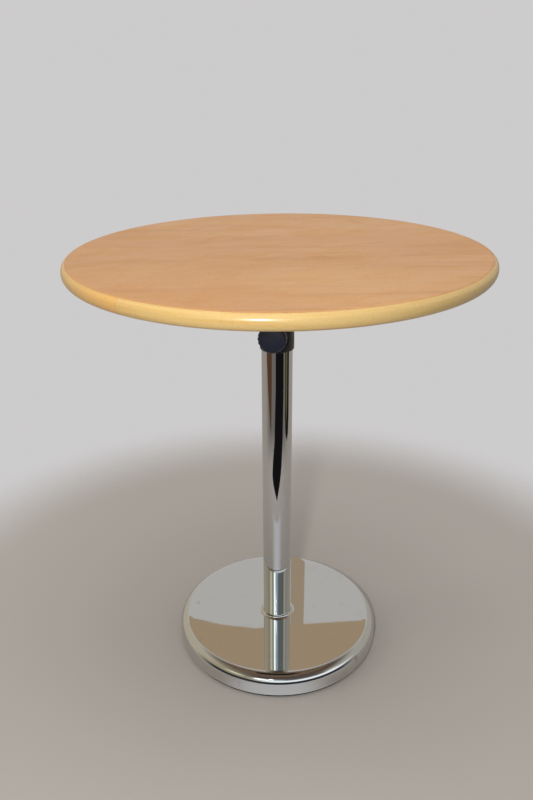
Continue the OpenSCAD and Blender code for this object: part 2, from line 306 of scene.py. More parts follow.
def beechLaminate():
    look = laminateLook
    material, tree, shader = newMaterial("beech_laminate_look", Specular_IOR_Level=0.42)
    turn = look["turn"]
    drift = noise(tree, spot(tree, (0.45, 0.16, 1), turn), 2.0, 0.5, 0.6)
    colour = mixed(tree, ranged(tree, drift, 0.3, 0.7), look["dark"], look["light"])
    wave = noise(tree, spot(tree, (0.30, 0.016, 1), turn), 4.0, 0.55, 0.55)
    colour = mixed(tree, ranged(tree, wave, 0.5, 0.78, 0.0, 0.55), colour, look["streak"])
    grain = noise(tree, spot(tree, (0.05, 0.0016, 1), turn), 3.0, 0.6, 0.15)
    colour = mixed(tree, ranged(tree, grain, 0.45, 0.75, 0.0, 0.30), colour, look["streak"])
    fleck = noise(tree, spot(tree, (0.0042, 0.0007, 1), turn), 1.0, 0.4, 0.1)
    patch = noise(tree, spot(tree, (0.08, 0.02, 1), turn), 1.0)
    fleckMask = calc(tree, "MULTIPLY", ranged(tree, fleck, 0.62, 0.72),
                     ranged(tree, patch, 0.35, 0.6, 0.25, 0.7))
    colour = mixed(tree, fleckMask, colour, look["fleck"])
    smear = noise(tree, spot(tree, (0.10, 0.05, 0.1), radians(35)), 4.0, 0.62, 0.8)
    colour = mixed(tree, ranged(tree, smear, 0.55, 0.80, 0.0, 0.22), colour, look["streak"])
    speck = spots(tree, 0.045, 0.035, 0.25)
    colour = mixed(tree, calc(tree, "MULTIPLY", speck, 0.45), colour, look["fleck"])
    roughness = ranged(tree, smear, 0.35, 0.70, 0.36, 0.52)
    normal = bumped(tree, grain, 0.00003, bumped(tree, fleck, 0.00002))
    wire(tree, shader, colour, roughness, normal)
    return material


lippingLook = {
    "pale": (0.665, 0.478, 0.200, 1), "deep": (0.615, 0.378, 0.125, 1),
    "orange": (0.730, 0.390, 0.108, 1), "fleck": (0.45, 0.23, 0.085, 1),
    "lengths": 3, "girth": 2.04, "pieceShift": 7.3,
}


def lacqueredBeech():
    # the lipping is glued up from bent lengths; the pattern follows the ring by its UV
    look = lippingLook
    material, tree, shader = newMaterial(
        "lacquered_beech_look", Specular_IOR_Level=0.32, Coat_Weight=0.30, Coat_Roughness=0.15,
        Coat_IOR=1.5)
    uv = nodeOf(tree, "ShaderNodeTexCoord").outputs["UV"]
    parts = nodeOf(tree, "ShaderNodeSeparateXYZ", {0: uv})
    along = calc(tree, "MULTIPLY", parts.outputs[0], look["lengths"])
    piece = calc(tree, "FLOOR", along)
    place = nodeOf(tree, "ShaderNodeCombineXYZ", {
        0: calc(tree, "MULTIPLY", parts.outputs[0], look["girth"]), 1: parts.outputs[1],
        2: calc(tree, "MULTIPLY", piece, look["pieceShift"])}).outputs[0]

    def scaled(size):
        settings = {"Vector": place, "Scale": size}
        return nodeOf(tree, "ShaderNodeMapping", settings, vector_type="TEXTURE").outputs[0]

    tint = noise(tree, scaled((0.55, 0.5, 1)), 1.0)
    colour = mixed(tree, ranged(tree, tint, 0.38, 0.62), look["pale"], look["orange"])
    stripe = noise(tree, scaled((0.18, 0.0045, 1)), 3.0, 0.55, 0.5)
    colour = mixed(tree, ranged(tree, stripe, 0.42, 0.72, 0.0, 0.6), colour, look["deep"])
    fibre = noise(tree, scaled((0.022, 0.0007, 1)), 2.0, 0.6)
    colour = mixed(tree, ranged(tree, fibre, 0.5, 0.8, 0.0, 0.35), colour, look["deep"])
    fleck = noise(tree, scaled((0.0035, 0.0006, 1)), 1.0, 0.4)
    colour = mixed(tree, ranged(tree, fleck, 0.64, 0.74, 0.0, 0.6), colour, look["fleck"])
    share = calc(tree, "FRACT", along)
    joint = calc(tree, "MINIMUM", share, calc(tree, "SUBTRACT", 1.0, share))
    colour = mixed(tree, ranged(tree, joint, 0.0002, 0.0009, 0.75, 0.0), colour, look["fleck"])
    film = noise(tree, spot(tree, 0.05), 3.0, 0.55)
    roughness = ranged(tree, film, 0.3, 0.7, 0.26, 0.36)
    normal = bumped(tree, fibre, 0.00003, bumped(tree, film, 0.0002))
    wire(tree, shader, colour, roughness, normal)
    return material


sheetLook = {
    "light": (0.57, 0.425, 0.30, 1), "dark": (0.50, 0.365, 0.25, 1),
    "streak": (0.40, 0.28, 0.185, 1), "speck": (0.2, 0.13, 0.08, 1),
}


def plainSheet():
    # the balancing laminate of the underside, with a faint pressed grain
    look = sheetLook
    material, tree, shader = newMaterial("backing_sheet_look", Specular_IOR_Level=0.4)
    broad = noise(tree, spot(tree, (0.3, 0.12, 1), laminateLook["turn"]), 2.0)
    colour = mixed(tree, ranged(tree, broad, 0.3, 0.7), look["dark"], look["light"])
    streak = noise(tree, spot(tree, (0.08, 0.003, 1), laminateLook["turn"]), 3.0, 0.6)
    colour = mixed(tree, ranged(tree, streak, 0.5, 0.8, 0.0, 0.5), colour, look["streak"])
    speck = spots(tree, 0.012, 0.09, 0.18)
    colour = mixed(tree, calc(tree, "MULTIPLY", speck, 0.5), colour, look["speck"])
    roughness = ranged(tree, noise(tree, spot(tree, 0.04), 4.0, 0.6), 0.3, 0.7, 0.45, 0.6)
    wire(tree, shader, colour, roughness, bumped(tree, streak, 0.00003))
    return material


chipLook = {"light": (0.62, 0.44, 0.27, 1), "dark": (0.30, 0.19, 0.10, 1), "chip": (0.006, 0.0035, 0.0012)}


def chipCore():
    look = chipLook
    material, tree, shader = newMaterial("chipboard_look", Specular_IOR_Level=0.25)
    place = spot(tree, look["chip"])
    chips = nodeOf(tree, "ShaderNodeTexVoronoi", {"Vector": place, "Scale": 1.0})
    tone = nodeOf(tree, "ShaderNodeSeparateColor", {0: chips.outputs["Color"]}).outputs[0]
    colour = mixed(tree, tone, look["dark"], look["light"])
    wire(tree, shader, colour, ranged(tree, tone, 0, 1, 0.75, 0.95), bumped(tree, tone, 0.0003))
    return material


platingWear = {
    "smudge": (0.34, 0.33, 0.325, 1), "pit": (0.13, 0.085, 0.05, 1), "stain": 0.86,
    "hairline": (0.0006, 0.0006, 0.09),
}


def chrome(name, tint, rough, wear, waviness):
    # bright plating: slow ripples, faint hairlines, dull smears, grey smudges and a few brown pits
    look = platingWear
    material, tree, shader = newMaterial(name, Metallic=1.0)
    smear = noise(tree, spot(tree, (0.07, 0.07, 0.05)), 5.0, 0.62, 0.6)
    hair = noise(tree, spot(tree, look["hairline"]), 2.0, 0.6)
    pit = spots(tree, 0.021, 0.06, 0.24 * wear)
    pin = spots(tree, 0.006, 0.07, 0.10 * wear)
    mark = calc(tree, "MAXIMUM", pit, pin)
    stained = noise(tree, spot(tree, 0.035), 4.0, 0.6, 0.5)
    dull = tuple(c * look["stain"] for c in tint[:3]) + (1,)
    colour = mixed(tree, ranged(tree, stained, 0.52, 0.80, 0.0, 0.35 * wear), tint, dull)
    smudge = calc(tree, "MULTIPLY", spots(tree, 0.052, 0.14, 0.38 * wear),
                  ranged(tree, smear, 0.40, 0.60))
    colour = mixed(tree, calc(tree, "MULTIPLY", smudge, 0.55), colour, look["smudge"])
    colour = mixed(tree, mark, colour, look["pit"])
    rough = ranged(tree, smear, 0.45, 0.85, rough, rough + 0.035 * wear)
    rough = calc(tree, "ADD", rough, ranged(tree, hair, 0.6, 0.8, 0.0, 0.03 * wear))
    rough = calc(tree, "ADD", rough, calc(tree, "MULTIPLY", mark, 0.35))
    slow = noise(tree, spot(tree, 0.055), 2.0, 0.45)
    normal = bumped(tree, slow, waviness)
    normal = bumped(tree, calc(tree, "SUBTRACT", 0.0, mark), 0.00006, normal)
    wire(tree, shader, colour, rough, normal)
    return material


def moulded(name, colour, sheen, rough, grain, depth, specular):
    # moulded plastic: spark-eroded grain, worn spots a little smoother and paler
    material, tree, shader = newMaterial(name, Specular_IOR_Level=specular)
    fine = noise(tree, spot(tree, grain), 2.0, 0.6)
    rub = noise(tree, spot(tree, grain * 30), 4.0, 0.6, 0.4)
    tone = mixed(tree, ranged(tree, rub, 0.45, 0.75), colour, sheen)
    tone = mixed(tree, ranged(tree, fine, 0.55, 0.75, 0.0, 0.35), tone, sheen)
    roughness = ranged(tree, rub, 0.35, 0.7, rough, rough - 0.1)
    wire(tree, shader, tone, roughness, bumped(tree, fine, depth))
    return material


ironLook = {
    "light": (0.085, 0.087, 0.092, 1), "dark": (0.030, 0.031, 0.034, 1), "rust": (0.13, 0.055, 0.028, 1),
}


def castIron():
    look = ironLook
    material, tree, shader = newMaterial("cast_weight_look", Metallic=0.25, Specular_IOR_Level=0.4)
    skin = noise(tree, spot(tree, 0.0022), 5.0, 0.65)
    lump = noise(tree, spot(tree, 0.018), 4.0, 0.6)
    colour = mixed(tree, ranged(tree, skin, 0.35, 0.7), look["dark"], look["light"])
    rust = calc(tree, "MULTIPLY", ranged(tree, lump, 0.58, 0.70), ranged(tree, skin, 0.45, 0.6))
    colour = mixed(tree, calc(tree, "MULTIPLY", rust, 0.7), colour, look["rust"])
    normal = bumped(tree, skin, 0.0004, bumped(tree, lump, 0.0012))
    wire(tree, shader, colour, ranged(tree, skin, 0.3, 0.7, 0.55, 0.8), normal)
    return material


def steel(name, bright, dark, rough):
    # plain steel: a cloudy tone with fine drawn lines
    scale = 0.004
    material, tree, shader = newMaterial(name, Metallic=1.0)
    cloud = noise(tree, spot(tree, scale), 4.0, 0.62)
    line = noise(tree, spot(tree, (scale * 0.08, scale * 0.08, scale * 3)), 2.0)
    colour = mixed(tree, ranged(tree, cloud, 0.35, 0.7), dark, bright)
    roughness = ranged(tree, line, 0.3, 0.7, rough, rough + 0.16)
    wire(tree, shader, colour, roughness, bumped(tree, line, 0.00002))
    return material


paintLook = {
    "light": (0.030, 0.031, 0.035, 1), "dark": (0.016, 0.017, 0.019, 1), "chip": (0.30, 0.29, 0.28, 1),
}


def stovedPaint():
    # black stoved paint of the top's bracket: orange peel, small chips down to bright steel
    look = paintLook
    material, tree, shader = newMaterial(
        "bracket_paint_look", Specular_IOR_Level=0.5, Coat_Weight=0.15, Coat_Roughness=0.3)
    peel = noise(tree, spot(tree, 0.0014), 2.0, 0.5)
    broad = noise(tree, spot(tree, 0.03), 4.0, 0.6)
    colour = mixed(tree, ranged(tree, broad, 0.35, 0.7), look["dark"], look["light"])
    chip = spots(tree, 0.016, 0.06, 0.12)
    colour = mixed(tree, chip, colour, look["chip"])
    roughness = ranged(tree, broad, 0.3, 0.7, 0.38, 0.52)
    wire(tree, shader, colour, roughness, bumped(tree, peel, 0.00012, bumped(tree, chip, -0.0001)))
    return material


# moulded pieces: colour, colour of worn spots, roughness, grain size, grain depth, gloss level
plastics = {
    "collar_plastic": ((0.017, 0.016, 0.016, 1), (0.031, 0.029, 0.028, 1), 0.40, 0.0009, 0.00005, 0.5),
    "knob_plastic": ((0.006, 0.009, 0.024, 1), (0.012, 0.017, 0.037, 1), 0.50, 0.0007, 0.00006, 0.5),
    "guide_plastic": ((0.018, 0.018, 0.020, 1), (0.035, 0.035, 0.038, 1), 0.42, 0.0008, 0.00003, 0.5),
    "pad_plastic": ((0.60, 0.60, 0.55, 1), (0.70, 0.70, 0.66, 1), 0.45, 0.0008, 0.00003, 0.5),
    "rubber_black": ((0.011, 0.011, 0.011, 1), (0.030, 0.029, 0.028, 1), 0.72, 0.0012, 0.0001, 0.35),
}
# chrome: tint, roughness, wear, waviness. steel: bright tone, dark tone, roughness
finish = {
    "beech_laminate": beechLaminate(),
    "lacquered_beech": lacqueredBeech(),
    "backing_sheet": plainSheet(),
    "chipboard": chipCore(),
    "chrome_sheet": chrome("chrome_sheet_look", (0.675, 0.67, 0.655, 1), 0.028, 1.0, 0.00003),
    "chrome_tube": chrome("chrome_tube_look", (0.66, 0.665, 0.67, 1), 0.03, 0.55, 0.00002),
    "inner_chrome": chrome("inner_chrome_look", (0.62, 0.625, 0.635, 1), 0.07, 0.8, 0.00001),
    "cast_weight": castIron(),
    "zinc_steel": steel("zinc_steel_look", (0.72, 0.73, 0.75, 1), (0.50, 0.51, 0.53, 1), 0.24),
    "bare_steel": steel("bare_steel_look", (0.42, 0.41, 0.40, 1), (0.24, 0.235, 0.23, 1), 0.32),
    "bracket_paint": stovedPaint(),
}
for name, look in plastics.items():
    finish[name] = moulded(name + "_look", *look)
print("finishes made:", len(finish))

tabletop = {
    "radius": reachOf("edge_lipping"), "coreRadius": reachOf("top_core"),
    "top": topOf("top_laminate"), "under": footOf("backing_laminate"),
    "laminateFoot": footOf("top_laminate"), "backingTop": topOf("backing_laminate"),
    "upperRound": 0.011, "lowerRound": 0.013, "vGroove": 0.00025, "turns": 288,
}


def makeTabletop():
    t = tabletop
    upX, upZ = t["radius"] - t["upperRound"], t["top"] - t["upperRound"]
    lowX, lowZ = t["radius"] - t["lowerRound"], t["under"] + t["lowerRound"]
    # angles at which the rounded edge passes the laminate's foot and the backing's top
    upCut = np.degrees(np.arcsin((t["laminateFoot"] - upZ) / t["upperRound"]))
    lowCut = np.degrees(np.arcsin((t["backingTop"] - lowZ) / t["lowerRound"]))
    upEdge = arc(upX, upZ, t["upperRound"], 90, upCut + 1, 6)
    lowEdge = arc(lowX, lowZ, t["lowerRound"], lowCut - 1, -90, 5)
    inUp, inLow = upEdge[-1][0] - t["vGroove"], lowEdge[0][0] - t["vGroove"]
    flat = run((0, t["top"]), (upX, t["top"]), 10)
    laminate = section(flat, upEdge, line((inUp, t["laminateFoot"]), (0, t["laminateFoot"])))
    makePiece("topLaminate", meshOf("topLaminate", [turned(laminate, t["turns"], False)]),
              finish["beech_laminate"], "top", "beech_laminate", "top_laminate")
    lipping = section(
        line((t["coreRadius"], t["backingTop"]), (t["coreRadius"], t["laminateFoot"])),
        line((inUp, t["laminateFoot"])),
        arc(upX, upZ, t["upperRound"], upCut - 1, 0, 12),
        arc(lowX, lowZ, t["lowerRound"], 0, lowCut + 1, 12),
        line((inLow, t["backingTop"])),
    )
    makePiece("edgeLipping", meshOf("edgeLipping", [turned(lipping, t["turns"])]),
              finish["lacquered_beech"], "top", "lacquered_beech", "edge_lipping")
    backing = section(
        line((0, t["backingTop"]), (inLow, t["backingTop"])), lowEdge,
        run((lowX, t["under"]), (0, t["under"]), 8),
    )
    makePiece("backingLaminate", meshOf("backingLaminate", [turned(backing, t["turns"], False)]),
              finish["backing_sheet"], "top", "backing_sheet", "backing_laminate")


makeTabletop()
print("tabletop made")

base = {
    "radius": reachOf("base_cover"), "flatTop": 0.042, "foot": footOf("base_cover"), "sheet": 0.0012,
    "shoulder": 0.018, "curl": 0.003, "hemInner": 0.176, "flare": 0.006, "neck": 0.02545,
    "outerExtra": 0.0005, "easeLength": 0.006, "easeTilt": 3.2, "turns": 288,
}


def makeCover():
    # the outside runs from the neck over the flare, flat, shoulder and wall to the curl and the
    # turned-in hem, and the inside runs back one sheet thickness away
    b = base
    r, t, s, c = b["radius"], b["sheet"], b["shoulder"], b["curl"]
    flareX, flareZ = b["neck"] + t + b["flare"], b["flatTop"] + b["flare"]
    # before the shoulder the flat falls away with the square of the distance, up to a small tilt
    tilt, outer = radians(b["easeTilt"]), s + b["outerExtra"]
    drop = b["easeLength"] * np.tan(tilt) / 2
    easeEnd, outerZ = r - outer * (1 - sin(tilt)), b["flatTop"] - drop - outer * cos(tilt)
    u = np.linspace(0, 1, 9)
    ease = np.column_stack((easeEnd + (u - 1) * b["easeLength"], b["flatTop"] - drop * u ** 2))
    profile = section(
        arc(flareX, flareZ, b["flare"], 180, 270, 12),
        run((flareX, b["flatTop"]), (easeEnd - b["easeLength"], b["flatTop"]), 12), ease,
        arc(r - outer, outerZ, outer, 90 - b["easeTilt"], 0, 24),
        run((r, outerZ), (r, b["foot"] + c), 3),
        arc(r - c, b["foot"] + c, c, 0, -90, 9),
        line((b["hemInner"], b["foot"]), (b["hemInner"], b["foot"] + t)),
        arc(r - c, b["foot"] + c, c - t, -90, 0, 6),
        arc(r - s, b["flatTop"] - s, s - t, 0, 90, 10),
        run((r - s, b["flatTop"] - t), (flareX, b["flatTop"] - t), 3),
        arc(flareX, flareZ, b["flare"] + t, 270, 180, 8),
    )
    makePiece("baseCover", meshOf("baseCover", [turned(profile, b["turns"])]),
              finish["chrome_sheet"], "base", "chrome_sheet", "base_cover")


floorRing = {"outer": 0.181, "inner": 0.168, "step": 0.1758, "top": 0.005, "seat": 0.0062,
             "soft": 0.0008, "groove": 0.0006, "grooves": 3, "turns": 240}


def makeFloorRing():
    # rubber ring with rounded edges and shallow running grooves in its tread
    f = floorRing
    s = f["soft"]
    left, right = f["inner"] + s, f["outer"] - s
    x = np.linspace(right, left, 8 * f["grooves"] + 5)
    share = (x - left) / (right - left)
    dip = f["groove"] * np.clip(np.cos(2 * pi * f["grooves"] * (share - 0.5) + pi), 0, 1) ** 0.5
    tread = np.column_stack((x, dip))
    tread[[0, -1], 1] = 0
    profile = section(
        arc(f["inner"] + s, s, s, -90, -180, 4),
        line((f["inner"], f["seat"]), (f["step"], f["seat"]), (f["step"], f["top"])),
        arc(f["outer"] - s, f["top"] - s, s, 90, 0, 4),
        arc(f["outer"] - s, s, s, 0, -90, 4), tread,
    )
    makePiece("floorRing", meshOf("floorRing", [turned(profile, f["turns"])]),
              finish["rubber_black"], "base", "rubber_black", "floor_ring")


weight = {"foot": 0.0062, "recess": 0.017, "recessTop": 0.0192, "boltHole": 0.0062, "radius": 0.1835,
          "disc": 0.0172, "ribOut": 0.1655, "ribIn": 0.1555, "boss": 0.044, "socket": 0.0256,
          "socketFoot": 0.0308, "top": 0.0408, "soft": 0.0015, "turns": 160}


def makeWeight():
    # cast disc with a middle boss and an outer rib, every outer corner rounded as a casting is
    w = weight
    s = w["soft"]
    profile = section(
        line((w["boltHole"], w["recessTop"]), (w["recess"], w["recessTop"])),
        arc(w["recess"] + s, w["foot"] + s, s, 180, 270, 5),
        run((w["recess"] + s, w["foot"]), (w["radius"] - 2 * s, w["foot"]), 8),
        arc(w["radius"] - 2 * s, w["foot"] + 2 * s, 2 * s, -90, 0, 5),
        arc(w["radius"] - s, w["disc"] - s, s, 0, 90, 4),
        line((w["ribOut"] + s, w["disc"]), (w["ribOut"], w["disc"] + s)),
        arc(w["ribOut"] - s, w["top"] - s, s, 0, 90, 4),
        arc(w["ribIn"] + s, w["top"] - s, s, 90, 180, 4),
        line((w["ribIn"], w["disc"]), (w["boss"] + s, w["disc"]), (w["boss"], w["disc"] + s)),
        arc(w["boss"] - s, w["top"] - s, s, 0, 90, 4),
        line((w["socket"], w["top"]), (w["socket"], w["socketFoot"]), (w["boltHole"], w["socketFoot"])),
    )
    makePiece("castWeight", meshOf("castWeight", [turned(profile, w["turns"])]),
              finish["cast_weight"], "base", "cast_weight", "base_weight")


bolt = {"flats": 0.019, "headFoot": 0.0067, "headTop": 0.0142, "shank": 0.006, "tip": 0.0488,
        "tipChamfer": 0.001, "chamferFrom": 0.0089, "slope": 0.55, "turns": 96}


def makeBolt():
    # hexagon: distance to the flats divided by the cosine of the angle from the nearest flat;
    # the head's face falls away outside the chamfer circle
    b = bolt
    a = np.arange(b["turns"]) / b["turns"] * 2 * pi
    hexR = b["flats"] / 2 / np.cos((a + pi / 6) % (pi / 3) - pi / 6)
    share = np.array([0, 0.6, 1.0])[:, None]
    inner = share * b["chamferFrom"] * np.ones_like(a)
    outer = b["chamferFrom"] + np.linspace(0, 1, 6)[1:, None] * (hexR - b["chamferFrom"])
    face = np.vstack((inner, outer))
    faceZ = b["headFoot"] + b["slope"] * np.clip(face - b["chamferFrom"], 0, 1)
    cut = b["tipChamfer"]
    shank = np.array([b["shank"], b["shank"], b["shank"] - cut, 0.0])[:, None] * np.ones_like(a)
    shankZ = np.array([b["headTop"], b["tip"] - cut, b["tip"], b["tip"]])[:, None] * np.ones_like(a)
    r = np.vstack((face, hexR[None], shank))
    z = np.vstack((faceZ, np.full((1, b["turns"]), b["headTop"]), shankZ))
    grid = gridPart(np.stack((r * np.cos(a), r * np.sin(a), z), -1))
    makePiece("centreBolt", meshOf("centreBolt", [grid], 25), finish["zinc_steel"], "base",
              "zinc_steel", "centre_bolt")


makeCover()
makeFloorRing()
makeWeight()
makeBolt()
print("base made")

column = {
    "radius": reachOf("outer_tube"), "bore": 0.0234,
    "foot": footOf("outer_tube"), "top": topOf("outer_tube"),
    "innerRadius": 0.021, "innerBore": 0.019, "innerFoot": 0.1548, "innerTop": topOf("inner_tube"),
    "groove": (0.18335, 0.18545, 0.0004), "soft": 0.0004, "clampZ": 0.6055, "padHole": 0.0062,
    "turns": 160,
}


def tubeSection(outer, inner, foot, top, soft, cuts=()):
    # wall of a tube with softened ends and turned grooves (low, high, depth)
    body = [arc(outer - soft, foot + soft, soft, -90, 0, 3)]
    for low, high, depth in cuts:
        body.append(line((outer, low), (outer - depth, low), (outer - depth, high), (outer, high)))
    body.append(arc(outer - soft, top - soft, soft, 0, 90, 3))
    return section(line((inner, foot)), *body, line((inner, top)))


def rod(radius, start, end, axisZ, turns=48):
    # a plain closed cylinder along the clamp's axis, used as a cutting tool
    profile = line((0, start), (radius, start), (radius, end), (0, end))
    return meshOf("rod", [clampTurned(profile, turns, axisZ)])


def makeColumn():
    c = column
    # a groove without depth, hidden by the collar, keeps the long wall apart from the pad's hole
    below = c["clampZ"] - 0.02
    outer = tubeSection(c["radius"], c["bore"], c["foot"], c["top"], c["soft"],
                        [(below, below + 0.0001, 0)])
    tube = meshOf("outerTube", [turned(outer, c["turns"])])
    tube = carved("outerTube", tube, [(rod(c["padHole"], 0.01, 0.04, c["clampZ"]), "DIFFERENCE")])
    makePiece("outerTube", tube, finish["chrome_tube"], "base", "chrome_tube", "outer_tube")
    inner = tubeSection(c["innerRadius"], c["innerBore"], c["innerFoot"], c["innerTop"], c["soft"],
                        [c["groove"]])
    makePiece("innerTube", meshOf("innerTube", [turned(inner, c["turns"])]),
              finish["inner_chrome"], "top", "inner_chrome", "inner_tube")


collar = {
    "radius": 0.0277, "bore": 0.02545, "lipBore": 0.0215,
    "foot": footOf("collar"), "top": topOf("collar"),
    "lip": 0.007, "soft": 0.0012, "boss": 0.01293, "fillet": 0.0032, "end": 0.0378, "endRound": 0.0012,
    "pocket": 0.01, "pocketEnd": 0.0347, "studHole": 0.0052, "bossStart": 0.0262, "bossTurns": 120,
    "turns": 160,
}


def makeCollar():
    c = collar
    s = c["soft"]
    lipZ = c["top"] - c["lip"]
    sleeve = section(
        line((c["bore"], c["foot"])), arc(c["radius"] - s, c["foot"] + s, s, -90, 0, 6),
        arc(c["radius"] - s, c["top"] - s, s, 0, 90, 6),
        line((c["lipBore"], c["top"]), (c["lipBore"], lipZ), (c["bore"], lipZ)),
    )
    # the boss grows from the sleeve by a fillet: its ring shrinks by a quarter sine as it rises by
    # a quarter cosine from the sleeve's own surface, then runs straight to its rounded end
    a = np.arange(c["bossTurns"]) / c["bossTurns"] * 2 * pi
    around = np.ones((1, c["bossTurns"]))
    q = np.linspace(0, pi / 2, 9)[:, None]
    fillet = c["boss"] + c["fillet"] * (1 - np.sin(q)) * np.ones_like(a)
    wall = np.sqrt(c["radius"] ** 2 - (fillet * np.cos(a)) ** 2)
    rise = wall - 0.00003 + c["fillet"] * (1 - np.cos(q))
    t = np.linspace(0.25, 1, 4)[:, None]
    straight = rise[-1] + t * (c["end"] - c["endRound"] - rise[-1])
    w = np.linspace(0, pi / 2, 6)[1:, None]
    edge = (c["boss"] - c["endRound"] * (1 - np.cos(w))) * np.ones_like(a)
    edgeOut = (c["end"] - c["endRound"] * (1 - np.sin(w))) * np.ones_like(a)
    sides = np.repeat(c["boss"] * around, len(t), 0)
    r = np.vstack((0 * around, fillet[:1], fillet, sides, edge, 0 * around))
    out = np.vstack((c["bossStart"] * around, wall[:1] - 0.0008, rise, straight, edgeOut,
                     c["end"] * around))
    boss = gridPart(np.stack((r * np.cos(a), -out, column["clampZ"] + r * np.sin(a)), -1))
    tools = [
        (meshOf("boss", [boss]), "UNION"),
        (rod(c["pocket"], 0.02, c["pocketEnd"], column["clampZ"], 6), "DIFFERENCE"),
        (rod(c["studHole"], 0.02, 0.05, column["clampZ"]), "DIFFERENCE"),
    ]
    mesh = carved("collarBody", meshOf("collarBody", [turned(sleeve, c["turns"])]), tools, 30)
    makePiece("collarBody", mesh, finish["collar_plastic"], "base", "collar_plastic", "collar")


makeColumn()
makeCollar()
print("column made")

knob = {
    "radius": 0.0225, "hub": 0.012, "hubStart": 0.039, "rimStart": 0.044, "face": 0.061, "edge": 0.0042,
    "dome": 0.0016, "back": 0.0013, "flutes": 20, "fluteWidth": 0.0044, "fluteDepth": 0.001,
    "neckRound": 0.001, "hubRound": 0.0008, "bore": 0.00502, "boreEnd": 0.0551,
}


def makeKnob():
    # section from the domed face over the fluted rim to the hub and its bore; each row also has
    # how deep the flutes are cut there
    k = knob
    rimEnd = k["face"] - k["dome"]
    domeR = k["radius"] - k["edge"]
    x = np.linspace(0, 1, 9)
    dome = np.column_stack((x * domeR, k["face"] - k["dome"] * x ** 2.4))
    front = arc(domeR, rimEnd - k["edge"], k["edge"], 90, 0, 9)
    rim = run((k["radius"], rimEnd - k["edge"]), (k["radius"], k["rimStart"] + k["back"]), 4)
    back = arc(k["radius"] - k["back"], k["rimStart"] + k["back"], k["back"], 0, -90, 5)
    n, h = k["neckRound"], k["hubRound"]
    neck = arc(k["hub"] + n, k["rimStart"] - n, n, 90, 180, 3)
    hub = arc(k["hub"] - h, k["hubStart"] + h, h, 0, -90, 3)
    bore = line((k["bore"], k["hubStart"]), (k["bore"], k["boreEnd"]), (0, k["boreEnd"]))
    profile = section(dome, front, rim, back, neck, hub, bore)
    r, out = profile[:, :1], profile[:, 1:]
    cut = np.clip((r - domeR) / (0.75 * k["edge"]), 0, 1) ** 1.5 * (out >= k["rimStart"] - 1e-6)
    a = np.arange(k["flutes"] * 16) / (k["flutes"] * 16) * 2 * pi
    # a flute is one hump of a cosine, as wide as fluteWidth measured round the rim
    s = ((a * k["flutes"] / (2 * pi)) % 1 - 0.5) * 2 * pi * k["radius"] / k["flutes"]
    hump = 0.5 + 0.5 * np.cos(2 * pi * s / k["fluteWidth"])
    flute = np.where(np.abs(s) < k["fluteWidth"] / 2, hump, 0)
    r = r - k["fluteDepth"] * cut * flute
    out = out * np.ones_like(a)
    grid = gridPart(np.stack((r * np.cos(a), -out, column["clampZ"] + r * np.sin(a)), -1))
    makePiece("knobHead", meshOf("knobHead", [grid], 50), finish["knob_plastic"], "knob",
              "knob_plastic", "knob_head")


stud = {"radius": 0.005, "pitch": 0.0015, "depth": 0.0009, "tip": 0.003, "tipStart": 0.0224,
        "start": 0.0243, "threadEnd": 0.046, "end": 0.055, "rows": 116, "turns": 48}


def makeStud():
    # thread: a triangle wave of (distance / pitch + turn) takes the radius from crest to root
    s = stud
    a = np.arange(s["turns"]) / s["turns"] * 2 * pi
    out = np.linspace(s["start"] + 0.0002, s["threadEnd"], s["rows"])[:, None]
    phase = (out / s["pitch"] + a / (2 * pi)) % 1
    fade = np.clip(np.minimum(out - s["start"], s["threadEnd"] - out) / 0.0008, 0, 1)
    r = s["radius"] - s["depth"] * fade * np.abs(2 * phase - 1)
    ones = np.ones_like(a)
    lead = np.array([0, s["tip"] - 0.0004, s["tip"], s["tip"], s["radius"] - 0.0008])[:, None] * ones
    tip, start = s["tipStart"], s["start"]
    leadOut = np.array([tip, tip, tip + 0.0004, start, start])[:, None] * ones
    tail = np.array([s["radius"], 0])[:, None] * ones
    tailOut = np.full((2, 1), s["end"]) * ones
    r = np.vstack((lead, r, tail))
    out = np.vstack((leadOut, out * ones, tailOut))
    grid = gridPart(np.stack((r * np.cos(a), -out, column["clampZ"] + r * np.sin(a)), -1))
    makePiece("knobStud", meshOf("knobStud", [grid], 50), finish["zinc_steel"], "knob",
              "zinc_steel", "knob_stud")


makeKnob()
makeStud()
print("knob made")

bracket = {
    "plateFoot": footOf("top_plate"), "hub": 0.026, "hubBore": 0.02105,
    "hubFoot": footOf("hub_sleeve"), "soft": 0.0007, "gussetStart": 0.02605, "gussetEnd": 0.104,
    "gussetDrop": 0.04, "gussetHalf": 0.002, "bead": 0.0024, "longBead": 0.0019, "hubBead": 0.0017,
    "ripple": 0.16, "rippleStep": 0.0021, "ripples": 38, "beadSides": 12, "beadTurns": 360,
    "plateRound": 0.0008, "gussetRound": 0.0006, "turns": 128,
}


def bead(start, end, radius):
    # weld bead: a round rod whose radius swells and shrinks along it, closed to a point at both ends
    b = bracket
    start, end = np.array(start, float), np.array(end, float)
    length = np.linalg.norm(end - start)
    way = (end - start) / length
    side = np.cross(way, (0.3, 0.2, 0.9))
    side = side / np.linalg.norm(side)
    other = np.cross(way, side)
    t = np.linspace(0, 1, int(length / b["rippleStep"] * 5) + 8)[:, None]
    swell = 1 + b["ripple"] * np.abs(np.sin(pi * t * length / b["rippleStep"]))
    ends = np.sqrt(np.clip(1 - (2 * t - 1) ** 10, 0, 1))
    a = np.arange(b["beadSides"]) / b["beadSides"] * 2 * pi
    r = radius * swell * ends
    ringOf = np.cos(a)[None, :, None] * side + np.sin(a)[None, :, None] * other
    return gridPart(start + t[:, :, None] * length * way + r[:, :, None] * ringOf)


